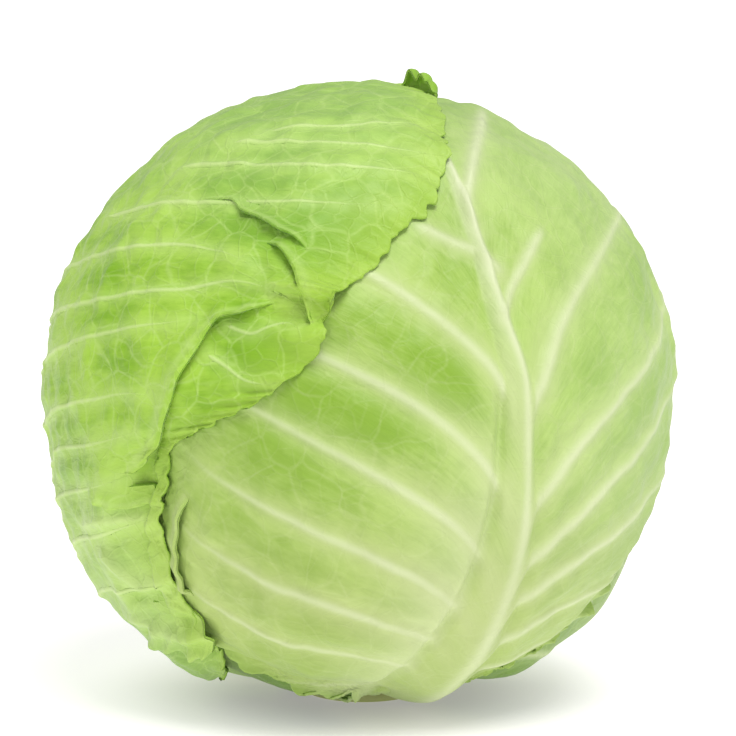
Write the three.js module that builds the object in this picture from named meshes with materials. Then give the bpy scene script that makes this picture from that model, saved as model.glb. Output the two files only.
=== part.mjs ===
// A head of green cabbage standing on its cut stem.
// Five wrapper leaves are laid one over another round a tight heart.
// Millimetres and degrees, +Z up. The origin is the middle of the cut stem's face, on the table.
// Azimuth 0 looks towards -Y, where the broad front leaf shows, and grows towards +X.

import * as THREE from "three";
import { mergeVertices } from "three/addons/utils/BufferGeometryUtils.js";

// The head as a whole.
const CENTRE_HEIGHT = 87.2;
const HALF_WIDTH = 79;
const HALF_HEIGHT_BELOW = 76.5;
const HALF_HEIGHT_ABOVE = 75;
const FULLNESS_BELOW = 2.45;
const FULLNESS_ABOVE = 2.02;
const DIMPLE_DEPTH = 12;
const DIMPLE_REACH = 18;

// The leaves, each a blade on its own layer, with a turn of the golden angle from one to the next.
const FRONT_AZIMUTH = 28;
const GOLDEN_ANGLE = 137.5;
const BLADE = 1.0;
const LAYER_STEP = 2.45;
const RIB_START = 14;
const RIB_FORK = 128;
const RIB_SWEEP = 9;
const SWEEP_REACH = 9;

// The midrib's height and half-width fall from the stem end to its fine end.
const RIB_END = 160;
const RIB_HEIGHT = 7;
const RIB_HEIGHT_MIN = 0.5;
const RIB_HALF_WIDTH = 17;
const RIB_HALF_WIDTH_MIN = 1.5;

// Side ribs, the swell of the blade between them and the waved margin.
const SIDE_RIB_HEIGHT = 1.7;
const SIDE_RIB_FADE = 0.8;
const SWELL = 0.7;
const WAVES = 9;
const CURL_AT = 0.965;
const WAVE_START = 0.74;
const FAN_OPENS = 0.78;

// The pleat in the left leaf, where the upper sheet stands proud of the panel that comes out from under it.
const LIP_RISE = 2.6;
const LIP_RUN = 20;
const LIP_GAP = 2.2;

// Heart and stem.
const HEART_CLEARANCE = 2.2;
const HEART_ARMS = 3;
const HEART_STEP = 1.6;
const STEM_RADIUS = 16.5;
const STEM_HEIGHT = 24;
const STEM_SHOULDER = 15.5;
const STEM_CHAMFER = 1;

const LEAF_GREEN = 0x9cc95a;
const PALE_GREEN = 0xb5d282;
const HEART_GREEN = 0xd3e0a4;
const STEM_CREAM = 0xe4e2bd;

// A monotone curve through [x, y] points, so that it never swings past them.
function curveThrough(points) {
  const last = points.length - 1;
  const slope = (i) => (points[i + 1][1] - points[i][1]) / (points[i + 1][0] - points[i][0]);
  const tangent = points.map((point, i) => {
    if (i === 0) return slope(0);
    if (i === last) return slope(last - 1);
    const before = slope(i - 1);
    const after = slope(i);
    if (before * after <= 0) return 0;
    const stepBefore = point[0] - points[i - 1][0];
    const stepAfter = points[i + 1][0] - point[0];
    return (stepBefore + stepAfter) / (stepBefore / after + stepAfter / before);
  });
  return (x) => {
    let i = 0;
    while (i < last - 1 && x > points[i + 1][0]) i += 1;
    const [x0, y0] = points[i];
    const [x1, y1] = points[i + 1];
    const step = x1 - x0;
    const q = (x - x0) / step;
    const rise = step * q * (1 - q) * (tangent[i] * (1 - q) - tangent[i + 1] * q);
    return y0 * (1 + 2 * q) * (1 - q) ** 2 + y1 * q * q * (3 - 2 * q) + rise;
  };
}

const radians = THREE.MathUtils.degToRad;
const degrees = THREE.MathUtils.radToDeg;
const ease = (x, from, to) => THREE.MathUtils.smoothstep(x, from, to);

// How the side ribs turn from the midrib: the bearing from straight up, along the midrib from base to fork.
const PLAIN_FAN = [[0, 95], [0.2, 112], [0.32, 100], [0.5, 72], [0.8, 52], [1, 0]];
// How far the blade reaches from the midrib to its margin, along the same midrib.
const PLAIN_REACH = [[0, 14], [0.06, 21], [0.13, 37], [0.22, 50], [0.4, 64], [0.65, 72], [0.85, 68], [1, 60]];
const PLAIN_RIBS = [0.26, 0.34, 0.43, 0.53, 0.65, 0.79];
// How far the midrib leans round the head from its leaf's azimuth, by polar angle.
const NO_LEAN = [[0, 0], [180, 0]];

// From the innermost leaf to the outermost.
const LEAVES = [
  {
    name: "inner_right_leaf", turn: 3, ribScale: 0.35, sideRibs: 0, spacing: 0.08, columns: 7,
    wave: [[0, 0.4], [1, 0.4]],
    lean: NO_LEAN,
    left: { fan: PLAIN_FAN, reach: PLAIN_REACH, ribs: [] },
    right: { fan: PLAIN_FAN, reach: PLAIN_REACH, ribs: [] },
    colour: LEAF_GREEN,
  },
  {
    name: "inner_left_leaf", turn: 2, ribScale: 0.35, sideRibs: 0, spacing: 0.08, columns: 7,
    wave: [[0, 0.4], [1, 0.4]],
    lean: NO_LEAN,
    left: { fan: PLAIN_FAN, reach: PLAIN_REACH, ribs: [] },
    right: { fan: PLAIN_FAN, reach: PLAIN_REACH, ribs: [] },
    colour: LEAF_GREEN,
  },
  {
    name: "back_leaf", turn: 1, ribScale: 0.9, sideRibs: 0.6, spacing: 0.05, columns: 8,
    wave: [[0, 0.8], [1, 0.5]],
    lean: NO_LEAN,
    left: { fan: PLAIN_FAN, reach: PLAIN_REACH, ribs: PLAIN_RIBS },
    right: { fan: PLAIN_FAN, reach: PLAIN_REACH, ribs: PLAIN_RIBS },
    colour: PALE_GREEN,
  },
  {
    name: "front_leaf", turn: 0, ribScale: 0.85, sideRibs: 1, spacing: 0.045, columns: 9,
    wave: [[0, 1.6], [0.36, 1.6], [0.46, 0.3], [1, 0.3]],
    lean: [[0, -10], [32, -9.5], [46, -5], [60, -1.5], [75, 0], [180, 0]],
    left: {
      fan: [[0, 95], [0.18, 122], [0.32, 100], [0.5, 71], [0.8, 52], [1, 0]],
      reach: [[0, 12], [0.19, 12], [0.223, 15], [0.235, 26], [0.252, 36], [0.27, 45], [0.3, 54], [0.4, 68],
        [0.55, 72], [0.8, 66], [1, 58]],
      ribs: [0.24, 0.315, 0.37, 0.43, 0.515, 0.635, 0.79],
    },
    right: {
      fan: [[0, 85], [0.2, 92], [0.32, 93], [0.5, 72], [0.8, 52], [1, 0]],
      reach: [[0, 11], [0.18, 11], [0.21, 15], [0.23, 21], [0.253, 23.5], [0.303, 27], [0.348, 30],
        [0.375, 33], [0.4, 43], [0.45, 57], [0.55, 76], [0.78, 82], [1, 58]],
      ribs: [0.27, 0.355, 0.43, 0.5, 0.6, 0.77, 0.88],
    },
    colour: PALE_GREEN,
  },
  {
    name: "left_leaf", turn: -1, ribScale: 0.8, sideRibs: 1, spacing: 0.045, columns: 10,
    wave: [[0, 2], [0.88, 1.6], [0.95, 2.8], [1, 2.2]],
    lean: NO_LEAN,
    left: {
      fan: PLAIN_FAN,
      reach: [[0, 14], [0.06, 20], [0.13, 34], [0.22, 48], [0.4, 58], [0.65, 60], [0.85, 62], [1, 64]],
      ribs: PLAIN_RIBS,
    },
    right: {
      fan: [[0, 95], [0.2, 118], [0.37, 110], [0.45, 98], [0.55, 90], [0.68, 70], [0.85, 50], [1, 0]],
      reach: [[0, 12], [0.13, 13], [0.17, 27], [0.2, 36], [0.25, 45], [0.303, 52.5], [0.331, 55],
        [0.38, 58.5], [0.45, 65], [0.5, 69.5], [0.55, 73], [0.575, 86], [0.61, 98], [0.65, 103], [0.75, 101],
        [0.84, 98], [0.9, 95], [0.95, 82], [1, 64]],
      ribs: [0.36, 0.44, 0.52, 0.6, 0.7, 0.8, 0.9],
    },
    // The lip's place as a share of the blade's reach, and how much of its rise it has, along the midrib.
    lip: [[0, 0.85], [0.5, 0.9], [0.56, 0.93], [0.6, 0.78], [0.65, 0.77], [0.72, 0.88], [0.8, 0.9], [1, 0.9]],
    lipShare: [[0, 0], [0.5, 0], [0.55, 0.8], [0.6, 1], [0.66, 1], [0.74, 0], [1, 0]],
    colour: LEAF_GREEN,
  },
];
LEAVES.forEach((leaf, layer) => {
  leaf.layer = layer;
  leaf.azimuth = radians(FRONT_AZIMUTH + leaf.turn * GOLDEN_ANGLE);
  leaf.outward = new THREE.Vector3(Math.sin(leaf.azimuth), -Math.cos(leaf.azimuth), 0);
  leaf.rightward = new THREE.Vector3(Math.cos(leaf.azimuth), Math.sin(leaf.azimuth), 0);
  leaf.leanAt = curveThrough(leaf.lean);
});

// Distance from the head's centre to the heart's own surface, at a polar angle from the stem end.
function headRadius(polar) {
  const below = ease(Math.cos(polar), -0.5, 0.5);
  const power = THREE.MathUtils.lerp(FULLNESS_ABOVE, FULLNESS_BELOW, below);
  const halfHeight = Math.cos(polar) > 0 ? HALF_HEIGHT_BELOW : HALF_HEIGHT_ABOVE;
  const across = (Math.sin(polar) / HALF_WIDTH) ** power;
  const along = (Math.abs(Math.cos(polar)) / halfHeight) ** power;
  const dimple = DIMPLE_DEPTH * Math.exp(-((degrees(polar) / DIMPLE_REACH) ** 2));
  return (across + along) ** (-1 / power) - dimple;
}

const polarOf = (direction) => Math.acos(THREE.MathUtils.clamp(-direction.z, -1, 1));

// Turns a direction round the head's axis by a leaf's lean, or back by it.
const UP = new THREE.Vector3(0, 0, 1);
function leaned(leaf, direction, way) {
  const angle = radians(way * leaf.leanAt(degrees(polarOf(direction))));
  return direction.clone().applyAxisAngle(UP, angle);
}

// Share of the midrib's length that is left above a polar angle, in degrees.
const ribLeft = (polar) => Math.max(0, 1 - polar / RIB_END);
const ribHalfWidth = (polar) => RIB_HALF_WIDTH_MIN + RIB_HALF_WIDTH * ribLeft(polar) ** 2;
const ribHeight = (polar) => RIB_HEIGHT_MIN + RIB_HEIGHT * ribLeft(polar) ** 1.6;

// How far a leaf's midrib stands out of its blade in a direction.
function midrib(leaf, direction) {
  const upright = leaned(leaf, direction, -1);
  if (upright.dot(leaf.outward) < 0) return 0;
  const polar = degrees(polarOf(direction));
  const aside = HALF_WIDTH * Math.asin(THREE.MathUtils.clamp(upright.dot(leaf.rightward), -1, 1));
  const across = Math.min(1, Math.abs(aside) / ribHalfWidth(polar));
  const ends = ease(polar, 0, RIB_START) * (1 - ease(polar, RIB_END - 20, RIB_END));
  return leaf.ribScale * ribHeight(polar) * ends * Math.cos((across * Math.PI) / 2) ** 2;
}

// Underside of a leaf's blade: it lies over the midribs of all the leaves inside it.
function bed(leaf, direction) {
  const ribsBelow = LEAVES.slice(0, leaf.layer).reduce((sum, inner) => sum + midrib(inner, direction), 0);
  return headRadius(polarOf(direction)) + leaf.layer * LAYER_STEP + ribsBelow;
}

// The direction of a place on a leaf: `along` is 0 at the base and 1 at the fork.
// `away` is the angle from the midrib.
function leafDirection(leaf, side, along, away) {
  const bend = RIB_SWEEP * ease(along, 0, 0.25) * (1 - ease(along, 0.85, 1)) * Math.exp(-away / SWEEP_REACH);
  const polar = radians(THREE.MathUtils.lerp(RIB_START, RIB_FORK, along) - bend);
  const bearing = radians(side.bearing(along));
  const up = leaf.outward.clone().multiplyScalar(Math.cos(polar)).setZ(Math.sin(polar));
  const start = leaf.outward.clone().multiplyScalar(Math.sin(polar)).setZ(-Math.cos(polar));
  const heading = up.multiplyScalar(Math.cos(bearing));
  heading.addScaledVector(leaf.rightward, side.sign * Math.sin(bearing));
  const turn = radians(away);
  const upright = start.multiplyScalar(Math.cos(turn)).addScaledVector(heading, Math.sin(turn));
  return leaned(leaf, upright, 1);
}

// Height of the side ribs, and how far the blade swells between two of them.
function sideRibs(leaf, side, along, share) {
  const fade = 1 - SIDE_RIB_FADE * share;
  const onRib = side.ribs.some((rib) => Math.abs(rib - along) < 1e-6);
  return onRib && share > 0 ? leaf.sideRibs * SIDE_RIB_HEIGHT * fade : 0;
}

function swell(leaf, side, along, share) {
  const next = side.ribs.findIndex((rib) => rib > along);
  if (next < 1) return 0;
  const between = (along - side.ribs[next - 1]) / (side.ribs[next] - side.ribs[next - 1]);
  return leaf.sideRibs * SWELL * Math.sin(between * Math.PI) * Math.sin(share * Math.PI);
}

// How far the waved margin lifts off whatever it lies on.
function marginWave(leaf, along, share) {
  const edge = ease(share, WAVE_START, 1);
  return leaf.waveAt(along) * edge * (0.5 + 0.5 * Math.cos(2 * Math.PI * WAVES * (along - CURL_AT)));
}

// How far the pleat's upper sheet stands proud, rising to the lip and dropping to the panel past it.
function pleat(leaf, side, along, away) {
  if (!leaf.lip || side.sign < 0) return 0;
  const lip = leaf.lipAt(along) * side.reachAt(along);
  const rise = ease(away, lip - LIP_RUN, lip) * (1 - ease(away, lip, lip + LIP_GAP));
  return LIP_RISE * leaf.lipShareAt(along) * rise;
}

// Places along the midrib where the mesh has a row: at each side rib, at the base's turns and between them.
function rowsOf(leaf) {
  const fixed = [0, 0.07, 0.13, 0.16, 0.19, 0.22, 1, ...leaf.left.ribs, ...leaf.right.ribs];
  const sorted = [...new Set(fixed)].sort((a, b) => a - b);
  const rows = [];
  sorted.forEach((row, i) => {
    rows.push(row);
    if (i === sorted.length - 1) return;
    const gap = sorted[i + 1] - row;
    const spacing = row < FAN_OPENS ? leaf.spacing : leaf.spacing * 0.6;
    const pieces = Math.ceil(gap / spacing);
    for (let k = 1; k < pieces; k += 1) rows.push(row + (gap * k) / pieces);
  });
  return rows;
}

// Angles from the midrib where the mesh has a column.
// They are its crest, its flank and its foot, then even steps to the margin.
function columnsOf(leaf, side, along) {
  const polar = THREE.MathUtils.lerp(RIB_START, RIB_FORK, along);
  const reach = side.reachAt(along);
  const foot = Math.min(degrees(ribHalfWidth(polar) / HALF_WIDTH), reach * 0.6);
  const columns = [0, foot * 0.5, foot];
  const knee = leaf.lip ? leaf.lipAt(along) * reach : reach;
  const pastKnee = leaf.lip ? [knee + LIP_GAP, (knee + LIP_GAP + reach) / 2, reach] : [];
  const steps = leaf.columns - 2 - pastKnee.length;
  for (let k = 1; k <= steps; k += 1) columns.push(foot + ((knee - foot) * k) / steps);
  return [...columns, ...pastKnee];
}

// A leaf as one closed solid, with the same triangles on its outer and inner face.
// A wall round its margin joins them.
function leafGeometry(leaf) {
  const positions = [];
  const places = new Map();
  const rows = rowsOf(leaf);
  const lastRow = rows.length - 1;
  const lastColumn = leaf.columns;

  // The midrib belongs to both halves, and so does the last row, which runs on from it to the tip.
  const vertex = (face, side, i, j) => {
    const shared = j === 0 || i === lastRow;
    const key = `${face} ${shared ? "both" : side.sign} ${i} ${j}`;
    if (!places.has(key)) {
      const along = rows[i];
      const away = columnsOf(leaf, side, along)[j];
      const share = away / side.reachAt(along);
      const direction = leafDirection(leaf, side, along, away);
      const raised = pleat(leaf, side, along, away) + swell(leaf, side, along, share);
      const lift = marginWave(leaf, along, share) + raised;
      const ribs = midrib(leaf, direction) + sideRibs(leaf, side, along, share);
      const depth = face === "outer" ? BLADE + ribs : 0;
      const point = direction.multiplyScalar(bed(leaf, direction) + lift + depth);
      places.set(key, positions.length / 3);
      positions.push(point.x, point.y, point.z + CENTRE_HEIGHT);
    }
    return places.get(key);
  };

  const index = [];
  const triangle = (a, b, c, facing) => index.push(...(facing > 0 ? [a, b, c] : [a, c, b]));
  const wall = (side, [i0, j0], [i1, j1]) => {
    const [outerA, outerB] = [vertex("outer", side, i0, j0), vertex("outer", side, i1, j1)];
    const [innerA, innerB] = [vertex("inner", side, i0, j0), vertex("inner", side, i1, j1)];
    triangle(outerB, outerA, innerA, side.sign);
    triangle(outerB, innerA, innerB, side.sign);
  };
  for (const side of [leaf.left, leaf.right]) {
    for (let i = 0; i < lastRow; i += 1) {
      for (let j = 0; j < lastColumn; j += 1) {
        for (const [face, facing] of [["outer", side.sign], ["inner", -side.sign]]) {
          const cell = [[i, j], [i, j + 1], [i + 1, j + 1], [i + 1, j]];
          const corners = cell.map(([row, column]) => vertex(face, side, row, column));
          triangle(corners[0], corners[1], corners[2], facing);
          triangle(corners[0], corners[2], corners[3], facing);
        }
      }
      wall(side, [i, lastColumn], [i + 1, lastColumn]);
    }
    for (let j = 0; j < lastColumn; j += 1) wall(side, [0, j], [0, j + 1]);
  }
  const geometry = new THREE.BufferGeometry();
  geometry.setAttribute("position", new THREE.Float32BufferAttribute(positions, 3));
  geometry.setIndex(index);
  return geometry;
}

// Leaves only position on a geometry and joins its seams.
function closed(geometry) {
  geometry.deleteAttribute("normal");
  geometry.deleteAttribute("uv");
  return mergeVertices(geometry, 1e-4);
}

// The heart: the packed inner leaves as one ball.
// It is stepped where their margins lie over each other in a spiral.
function heartGeometry() {
  const geometry = new THREE.SphereGeometry(1, 36, 18).rotateX(Math.PI / 2);
  const points = geometry.getAttribute("position");
  const direction = new THREE.Vector3();
  for (let i = 0; i < points.count; i += 1) {
    direction.fromBufferAttribute(points, i).normalize();
    const polar = polarOf(direction);
    const turn = Math.atan2(direction.x, -direction.y) / (2 * Math.PI);
    const arm = HEART_ARMS * turn + polar / Math.PI;
    const step = HEART_STEP * Math.sin(polar) * (arm - Math.floor(arm + 1e-6));
    direction.multiplyScalar(headRadius(polar) - HEART_CLEARANCE - step);
    points.setXYZ(i, direction.x, direction.y, direction.z + CENTRE_HEIGHT);
  }
  return closed(geometry);
}

// The cut stem: a short round stub with a flat cut face, which the head stands on.
function stemGeometry() {
  const profile = [
    [0, 0],
    [STEM_RADIUS - STEM_CHAMFER, 0],
    [STEM_RADIUS, STEM_CHAMFER],
    [STEM_RADIUS, STEM_SHOULDER],
    [STEM_RADIUS * 0.8, STEM_SHOULDER + 4.5],
    [0, STEM_HEIGHT],
  ].map(([r, z]) => new THREE.Vector2(r, z));
  return closed(new THREE.LatheGeometry(profile, 32).rotateX(Math.PI / 2));
}

function addPiece(group, name, geometry, colour, roughness) {
  const material = new THREE.MeshStandardMaterial({ color: colour, roughness, metalness: 0 });
  const mesh = new THREE.Mesh(geometry, material);
  mesh.name = name;
  group.add(mesh);
}

const cabbage = new THREE.Group();
cabbage.name = "cabbage_head";
addPiece(cabbage, "stem", stemGeometry(), STEM_CREAM, 0.7);
addPiece(cabbage, "heart", heartGeometry(), HEART_GREEN, 0.5);
for (const leaf of LEAVES) {
  [[leaf.left, -1], [leaf.right, 1]].forEach(([side, sign]) => {
    side.sign = sign;
    side.bearing = curveThrough(side.fan);
    side.reachAt = curveThrough(side.reach);
  });
  leaf.waveAt = curveThrough(leaf.wave);
  if (leaf.lip) {
    leaf.lipAt = curveThrough(leaf.lip);
    leaf.lipShareAt = curveThrough(leaf.lipShare);
  }
  addPiece(cabbage, leaf.name, leafGeometry(leaf), leaf.colour, 0.45);
}

export default cabbage;
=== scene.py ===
# %% [markdown]
# # A head of green cabbage
# The head is a tight ball of leaves on a short cut stem. Five wrapper leaves are modelled one by one,
# each laid over the ones before it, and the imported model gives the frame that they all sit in.

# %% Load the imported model
import math
from types import SimpleNamespace

import bpy
import numpy as np
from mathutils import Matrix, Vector
from mathutils.kdtree import KDTree


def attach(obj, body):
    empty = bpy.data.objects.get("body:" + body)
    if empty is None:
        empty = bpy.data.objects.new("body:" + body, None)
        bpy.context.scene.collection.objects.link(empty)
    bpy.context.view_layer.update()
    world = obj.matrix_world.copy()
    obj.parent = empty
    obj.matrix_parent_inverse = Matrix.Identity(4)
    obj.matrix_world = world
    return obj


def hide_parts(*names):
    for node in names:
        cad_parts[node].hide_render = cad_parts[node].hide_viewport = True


join = np.concatenate
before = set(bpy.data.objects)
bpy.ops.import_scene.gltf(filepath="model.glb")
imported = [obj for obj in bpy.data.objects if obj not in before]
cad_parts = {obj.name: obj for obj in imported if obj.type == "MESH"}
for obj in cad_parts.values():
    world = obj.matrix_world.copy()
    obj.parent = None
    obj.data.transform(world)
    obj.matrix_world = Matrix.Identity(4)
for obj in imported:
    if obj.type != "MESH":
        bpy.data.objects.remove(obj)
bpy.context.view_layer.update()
print("nodes:", sorted(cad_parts))

# %% [markdown]
# ## The head's shape
# A cabbage is close to a ball, a little fuller below its middle and drawn in round the stem.
# It could be sculpted, but a formula gives every leaf the same bed to lie on, so no leaf cuts another.
# Lengths are in millimetres and angles in degrees until the meshes are made.

# %% The ball that the leaves lie on
MM = 0.001
CENTRE = np.array([0.0, 0.0, 87.2])
UP = np.array([0.0, 0.0, 1.0])
HALF_WIDTH = 79.0
HALF_HEIGHT_BELOW, HALF_HEIGHT_ABOVE = 76.5, 75.0
FULLNESS_BELOW, FULLNESS_ABOVE = 2.45, 2.02
DIMPLE_DEPTH, DIMPLE_REACH = 12.0, 18.0
SKIN = 88.0


def ease(x, start, end):
    """A soft step from 0 to 1."""
    q = np.clip((np.asarray(x, float) - start) / (end - start), 0, 1)
    return q * q * (3 - 2 * q)


def mix(a, b, share):
    return a + (b - a) * share


def bump(x, width):
    """A soft hump of height 1 round x = 0."""
    return np.exp(-((x / width) ** 2))


def unit(vectors):
    return vectors / (np.linalg.norm(vectors, axis=-1)[..., None] + 1e-12)


def head_radius(polar):
    """Distance from the centre to the heart at a polar angle, which is 0 at the stem."""
    across, along = np.sin(polar), np.cos(polar)
    power = mix(FULLNESS_ABOVE, FULLNESS_BELOW, ease(along, -0.5, 0.5))
    height = np.where(along > 0, HALF_HEIGHT_BELOW, HALF_HEIGHT_ABOVE)
    ball = ((np.abs(across) / HALF_WIDTH) ** power + (np.abs(along) / height) ** power) ** (-1 / power)
    return ball - DIMPLE_DEPTH * bump(np.degrees(polar), DIMPLE_REACH)


def polar_of(direction):
    return np.arccos(np.clip(-direction[..., 2], -1, 1))


print("radius at the stem, the waist and the top:", head_radius(np.radians([0, 90, 180])).round(1))

# %% [markdown]
# ## Curves and ripples
# Leaves are described by a few numbers along the midrib, so a curve has to pass through them without
# swinging wide. Real leaves are never even: a sum of waves in seeded random directions gives a smooth
# unevenness of any size.

# %% Curves through points, and seeded ripples


def curve_through(points):
    """A monotone curve through (x, y) points, as a function of an array."""
    x, y = np.array(points, float).T
    step = np.diff(x)
    slope = np.diff(y) / step
    tangent = join([slope[:1], np.zeros(len(x) - 2), slope[-1:]])
    for i in range(1, len(x) - 1):
        if slope[i - 1] * slope[i] > 0:
            tangent[i] = (step[i - 1] + step[i]) / (step[i - 1] / slope[i] + step[i] / slope[i - 1])

    def value(at):
        at = np.asarray(at, float)
        i = np.clip(np.searchsorted(x, at) - 1, 0, len(step) - 1)
        q = (at - x[i]) / step[i]
        bend = step[i] * q * (1 - q) * (tangent[i] * (1 - q) - tangent[i + 1] * q)
        return y[i] * (1 + 2 * q) * (1 - q) ** 2 + y[i + 1] * q * q * (3 - 2 * q) + bend

    return value


def ripple(points, wavelength, seed, waves=18):
    """A smooth random field of about -2 to 2 over points in space or along a line."""
    points = points[:, None] if points.ndim == 1 else points
    rng = np.random.default_rng(seed)
    way = rng.normal(size=(waves, points.shape[-1]))
    way /= np.linalg.norm(way, axis=1)[:, None]
    way *= (2 * np.pi / wavelength) * rng.uniform(0.7, 1.3, waves)[:, None]
    return np.cos(points @ way.T + rng.uniform(0, 2 * np.pi, waves)).sum(-1) * math.sqrt(2 / waves)


def ripples(points, listed, seed=0):
    """A sum of ripples, each given by its height, its wavelength and a step to add to the seed."""
    return sum(height * ripple(points, wavelength, seed + step) for height, wavelength, step in listed)


def spaced(density, count):
    """Places from 0 to 1, closer together where the density is high."""
    fine = np.linspace(0, 1, 3000)
    total = join([[0], np.cumsum(density((fine[1:] + fine[:-1]) / 2))])
    return np.interp(np.linspace(0, total[-1], count + 1), total, fine)


print("four steps that grow shorter:", spaced(lambda share: 1 + 3 * share, 4).round(2))

# %% [markdown]
# ## The five wrapper leaves
# Each leaf starts at the stem and follows its midrib up the head, a golden angle round from the one before.
# Its blade is a fan: side ribs leave the midrib at a bearing and run along great circles to the margin.
# `fan` gives that bearing from base to fork, and `reach` how far the blade goes before its margin.

# %% How a leaf is described
FRONT_AZIMUTH, GOLDEN_ANGLE = 28.0, 137.5
BLADE, LAYER_STEP = 0.9, 2.45
RIB_START, RIB_FORK, RIB_END = 14.0, 128.0, 160.0
PLAIN_FAN = [(0, 95), (0.2, 112), (0.32, 100), (0.5, 72), (0.8, 52), (1, 0)]
PLAIN_REACH = [(0, 14), (0.06, 21), (0.13, 37), (0.22, 50), (0.4, 64), (0.65, 72), (0.85, 68), (1, 60)]
LOW_REACH = [(0, 20), (0.06, 30), (0.13, 42), (0.22, 52)] + PLAIN_REACH[4:]
PLAIN_RIBS = [0.26, 0.34, 0.43, 0.53, 0.65, 0.79]
PLAIN_FRILL = [(0, 0.8), (1, 0.6)]
NO_LEAN = [(0, 0), (180, 0)]


def half(sign, fan=PLAIN_FAN, reach=PLAIN_REACH, ribs=PLAIN_RIBS, frill=PLAIN_FRILL, puff=0.8, milk=0.0):
    """One side of a leaf: sign is -1 left of the midrib and 1 right of it, seen from outside.

    Frill is the height of the margin's waves, puff that of the pillows between the side ribs, and milk how
    pale the blade is beside the midrib.
    """
    return SimpleNamespace(sign=sign, fan=curve_through(fan), reach=curve_through(reach),
                           ribs=np.array(ribs), frill=curve_through(frill), puff=puff, milk=milk)


def leaf(name, turn, rib_scale, side_ribs, left, right, grid, lean=NO_LEAN, crest=0.0, sweep=9.0,
         crinkle=1.0, swells=(), painted_shade_and_green_spots=()):
    """A leaf, some golden angles round from the front. Its grid is its count of rows and of columns."""
    azimuth = math.radians(FRONT_AZIMUTH + turn * GOLDEN_ANGLE)
    outward = np.array([math.sin(azimuth), -math.cos(azimuth), 0.0])
    rightward = np.array([math.cos(azimuth), math.sin(azimuth), 0.0])
    return SimpleNamespace(
        name=name, rib_scale=rib_scale, side_ribs=side_ribs, halves=(left, right), grid=grid,
        lean=curve_through(lean), crest=crest, sweep=sweep, crinkle=crinkle, swells=swells, painted_shade_and_green_spots=painted_shade_and_green_spots,
        outward=outward, rightward=rightward)


# %% The leaves, from the innermost to the outermost
inner_right = leaf("inner_right_leaf", 3, 0.35, 0.5, half(-1), half(1), (110, 60),
                   swells=[((52, -57), 14, 8.0), ((80, -40), 16, 5.0)])
inner_left = leaf("inner_left_leaf", 2, 0.35, 0.5, half(-1), half(1, reach=LOW_REACH), (130, 70),
                  swells=[((-18, -65), 15, 8.5)])
back = leaf("back_leaf", 1, 0.9, 0.8, half(-1), half(1), (230, 110))
front = leaf(
    "front_leaf", 0, 0.85, 1.0,
    half(-1,
         fan=[(0, 95), (0.18, 122), (0.32, 100), (0.5, 71), (0.8, 52), (1, 0)],
         reach=[(0, 12), (0.19, 12), (0.223, 15), (0.235, 26), (0.252, 36), (0.27, 45), (0.3, 54),
                (0.34, 61), (0.36, 63.4), (0.38, 64.3), (0.4, 65.4), (0.45, 68.3), (0.5, 70.6), (0.55, 72),
                (0.8, 66), (1, 58)],
         ribs=[0.24, 0.315, 0.37, 0.43, 0.515, 0.635, 0.79],
         frill=[(0, 2.4), (0.28, 2.4), (0.34, 0.3), (1, 0.3)], puff=2.5, milk=0.5),
    half(1,
         fan=[(0, 85), (0.2, 92), (0.32, 93), (0.5, 72), (0.8, 52), (1, 0)],
         reach=[(0, 10), (0.2, 10), (0.235, 14), (0.25, 21), (0.265, 24), (0.303, 28), (0.348, 33),
                (0.375, 37), (0.4, 46), (0.45, 59), (0.55, 76), (0.78, 82), (1, 58)],
         ribs=[0.27, 0.355, 0.43, 0.5, 0.6, 0.77],
         frill=[(0, 0.8), (0.22, 1.2), (0.3, 2.6), (0.42, 2.4), (0.5, 1.0), (0.6, 0.3), (1, 0.3)],
         puff=1.0),
    (300, 140),
    lean=[(0, -10), (32, -9.5), (46, -5), (60, -1.5), (75, 0), (97, 0), (110, -1.9), (120, -2.5),
          (180, -2.5)],
    crest=0.3, sweep=13.0, swells=[((80, -40), 16, 5.0), ((98, 0), 30, 1.8)],
    painted_shade_and_green_spots=[((57, -22), 16, 0.9), ((12, 8), 10, 0.5)])
left_wrapper = leaf(
    "left_leaf", -1, 0.8, 0.8,
    half(-1,
         reach=[(0, 14), (0.06, 20), (0.13, 34), (0.22, 48), (0.4, 58), (0.65, 60), (0.85, 62), (1, 64)],
         frill=[(0, 1.6), (0.88, 1.4), (1, 1.6)]),
    half(1,
         fan=[(0, 95), (0.2, 118), (0.37, 110), (0.45, 98), (0.55, 90), (0.68, 70), (0.85, 50), (1, 0)],
         reach=[(0, 12), (0.13, 13), (0.17, 27), (0.2, 36), (0.25, 45), (0.303, 52.5), (0.331, 55),
                (0.38, 58.5), (0.45, 65), (0.5, 69.5), (0.55, 73), (0.575, 86), (0.61, 98), (0.65, 103),
                (0.68, 101), (0.7, 98.5), (0.725, 101), (0.75, 101), (0.84, 98), (0.9, 95), (0.95, 82),
                (1, 64)],
         ribs=[],
         frill=[(0, 3.6), (0.3, 3.6), (0.36, 1.2), (0.55, 1.0), (0.62, 1.2), (0.67, 3.2), (0.74, 3.0),
                (0.8, 0.8), (0.88, 0.8), (0.95, 1.4), (1, 1.4)],
         puff=0),
    (340, 190), crinkle=1.35, swells=[((-22, 32), 16, 1.4), ((-46, -8), 10, 2.2)],
    painted_shade_and_green_spots=[((-19, 9), 11, 1.3), ((-2, 35), 11, 1.5)])
LEAVES = [inner_right, inner_left, back, front, left_wrapper]
for layer, each in enumerate(LEAVES):
    each.layer = layer
print("leaves:", [each.name for each in LEAVES])

# %% [markdown]
# ## Midribs
# The midrib is the leaf's backbone: thick and broad at the stem, fine towards the tip.
# It stands out on the outer face only, and every leaf laid over it rises over it too.
# The front leaf's midrib leans to the left at its base, and its crest lies to the right of its middle.

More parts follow.
